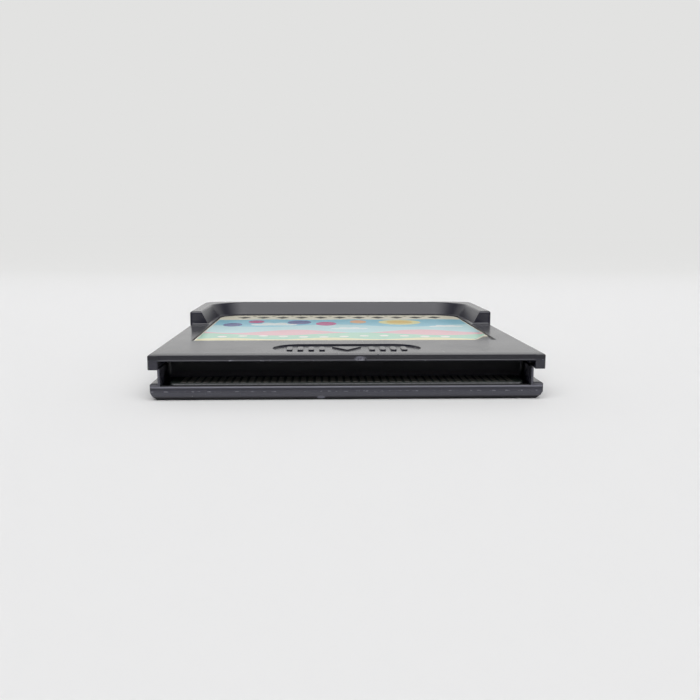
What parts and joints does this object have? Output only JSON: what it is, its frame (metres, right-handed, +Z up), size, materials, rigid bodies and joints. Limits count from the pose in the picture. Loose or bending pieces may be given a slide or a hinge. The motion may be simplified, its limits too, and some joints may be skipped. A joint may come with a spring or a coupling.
{
  "type": "game cartridge",
  "caption": "Flat game cartridge with a connector mouth, side grooves, a label pocket and a raised U-shaped grip, around a small circuit board.",
  "frame": {"origin": "centre of the footprint, on the plane that the rear shell rests on", "axes": "+X across the cartridge, +Y from the connector mouth to the grip, +Z up through the label side"},
  "size_m": [0.067, 0.068, 0.0109],
  "materials": {
    "shell_front": "satin",
    "shell_rear": "satin",
    "label_paper": "laminated print",
    "board": "dark solder mask, bare edges",
    "contact_plating": "plated, worn pale",
    "chip_epoxy": "moulded",
    "lead_tin": "tinned",
    "ceramic_body": "fired",
    "resistor_body": "glazed",
    "screw_steel": "zinc plated"
  },
  "bodies": {
    "root": {"front_shell": "shell_front", "rear_shell": "shell_rear", "label": "label_paper", "circuit_board": "board", "edge_contacts": "contact_plating", "rom_package": "chip_epoxy", "capacitor_left": "ceramic_body", "capacitor_right": "ceramic_body", "resistor": "resistor_body", "security_screw": "screw_steel", "rom_lead_01": "lead_tin", "rom_lead_02": "lead_tin", "rom_lead_03": "lead_tin", "rom_lead_04": "lead_tin", "rom_lead_05": "lead_tin", "rom_lead_06": "lead_tin", "rom_lead_07": "lead_tin", "rom_lead_08": "lead_tin", "rom_lead_09": "lead_tin", "rom_lead_10": "lead_tin", "rom_lead_11": "lead_tin", "rom_lead_12": "lead_tin", "rom_lead_13": "lead_tin", "rom_lead_14": "lead_tin", "rom_lead_15": "lead_tin", "rom_lead_16": "lead_tin", "rom_lead_17": "lead_tin", "rom_lead_18": "lead_tin", "rom_lead_19": "lead_tin", "rom_lead_20": "lead_tin", "rom_lead_21": "lead_tin", "rom_lead_22": "lead_tin", "rom_lead_23": "lead_tin", "rom_lead_24": "lead_tin", "rom_lead_25": "lead_tin", "rom_lead_26": "lead_tin", "rom_lead_27": "lead_tin", "rom_lead_28": "lead_tin"}
  },
  "joints": []
}
